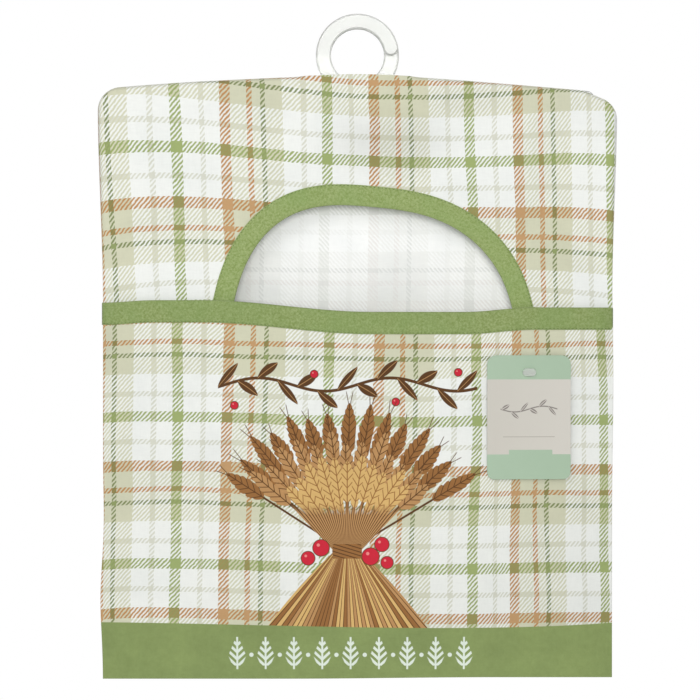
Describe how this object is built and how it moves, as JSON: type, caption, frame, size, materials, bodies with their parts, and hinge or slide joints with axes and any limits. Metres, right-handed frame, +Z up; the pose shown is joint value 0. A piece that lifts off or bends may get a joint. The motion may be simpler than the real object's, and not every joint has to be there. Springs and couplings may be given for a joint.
{
  "type": "peg bag",
  "caption": "Flat cotton peg bag with an arched, tape-bound mouth, hung from a clear double hanger whose hooks close into a ring; with a blank swing tag.",
  "frame": {"origin": "where the washing line bears, under the top of the ring that the two hooks make, midway between them", "axes": "+Z up along the hanging bag, -Y out of its front, +X to the right seen from the front"},
  "size_m": [0.3012, 0.0263, 0.3851],
  "materials": {
    "clear_plastic": "clear, slightly frosted moulding",
    "plaid_cotton": "plain-woven cotton printed with a green, terracotta and sage plaid on white",
    "green_tape": "matt green cotton bias tape",
    "printed_card": "coated card in plain green and beige bands"
  },
  "bodies": {
    "rear_hanger": {"rear_hanger": "clear_plastic"},
    "bag": {"back_panel": "plaid_cotton", "front_upper_panel": "plaid_cotton", "front_lower_panel": "plaid_cotton", "arch_binding": "green_tape", "lip_binding": "green_tape"},
    "front_hanger": {"front_hanger": "clear_plastic"},
    "tag_pin": {"tag_pin": "clear_plastic"},
    "swing_tag": {"swing_tag": "printed_card"}
  },
  "joints": [
    {"name": "bag_rock", "type": "hinge", "parent": "rear_hanger", "child": "bag", "pos_m": [0, 0, -0.04538], "axis": [1, 0, 0], "range_deg": [0, 6]},
    {"name": "front_hanger_rock", "type": "hinge", "parent": "bag", "child": "front_hanger", "pos_m": [0, 0, -0.04538], "axis": [1, 0, 0], "range_deg": [0, 6]},
    {"name": "tag_pin_slide", "type": "slide", "parent": "bag", "child": "tag_pin", "axis": [0.1028, -0.9947, -0.0039], "range_m": [0, 0.005]},
    {"name": "tag_swing", "type": "hinge", "parent": "tag_pin", "child": "swing_tag", "pos_m": [0.0988, -0.01084, -0.19894], "axis": [0.1028, -0.9947, -0.0039], "range_deg": [-50, 50]}
  ]
}
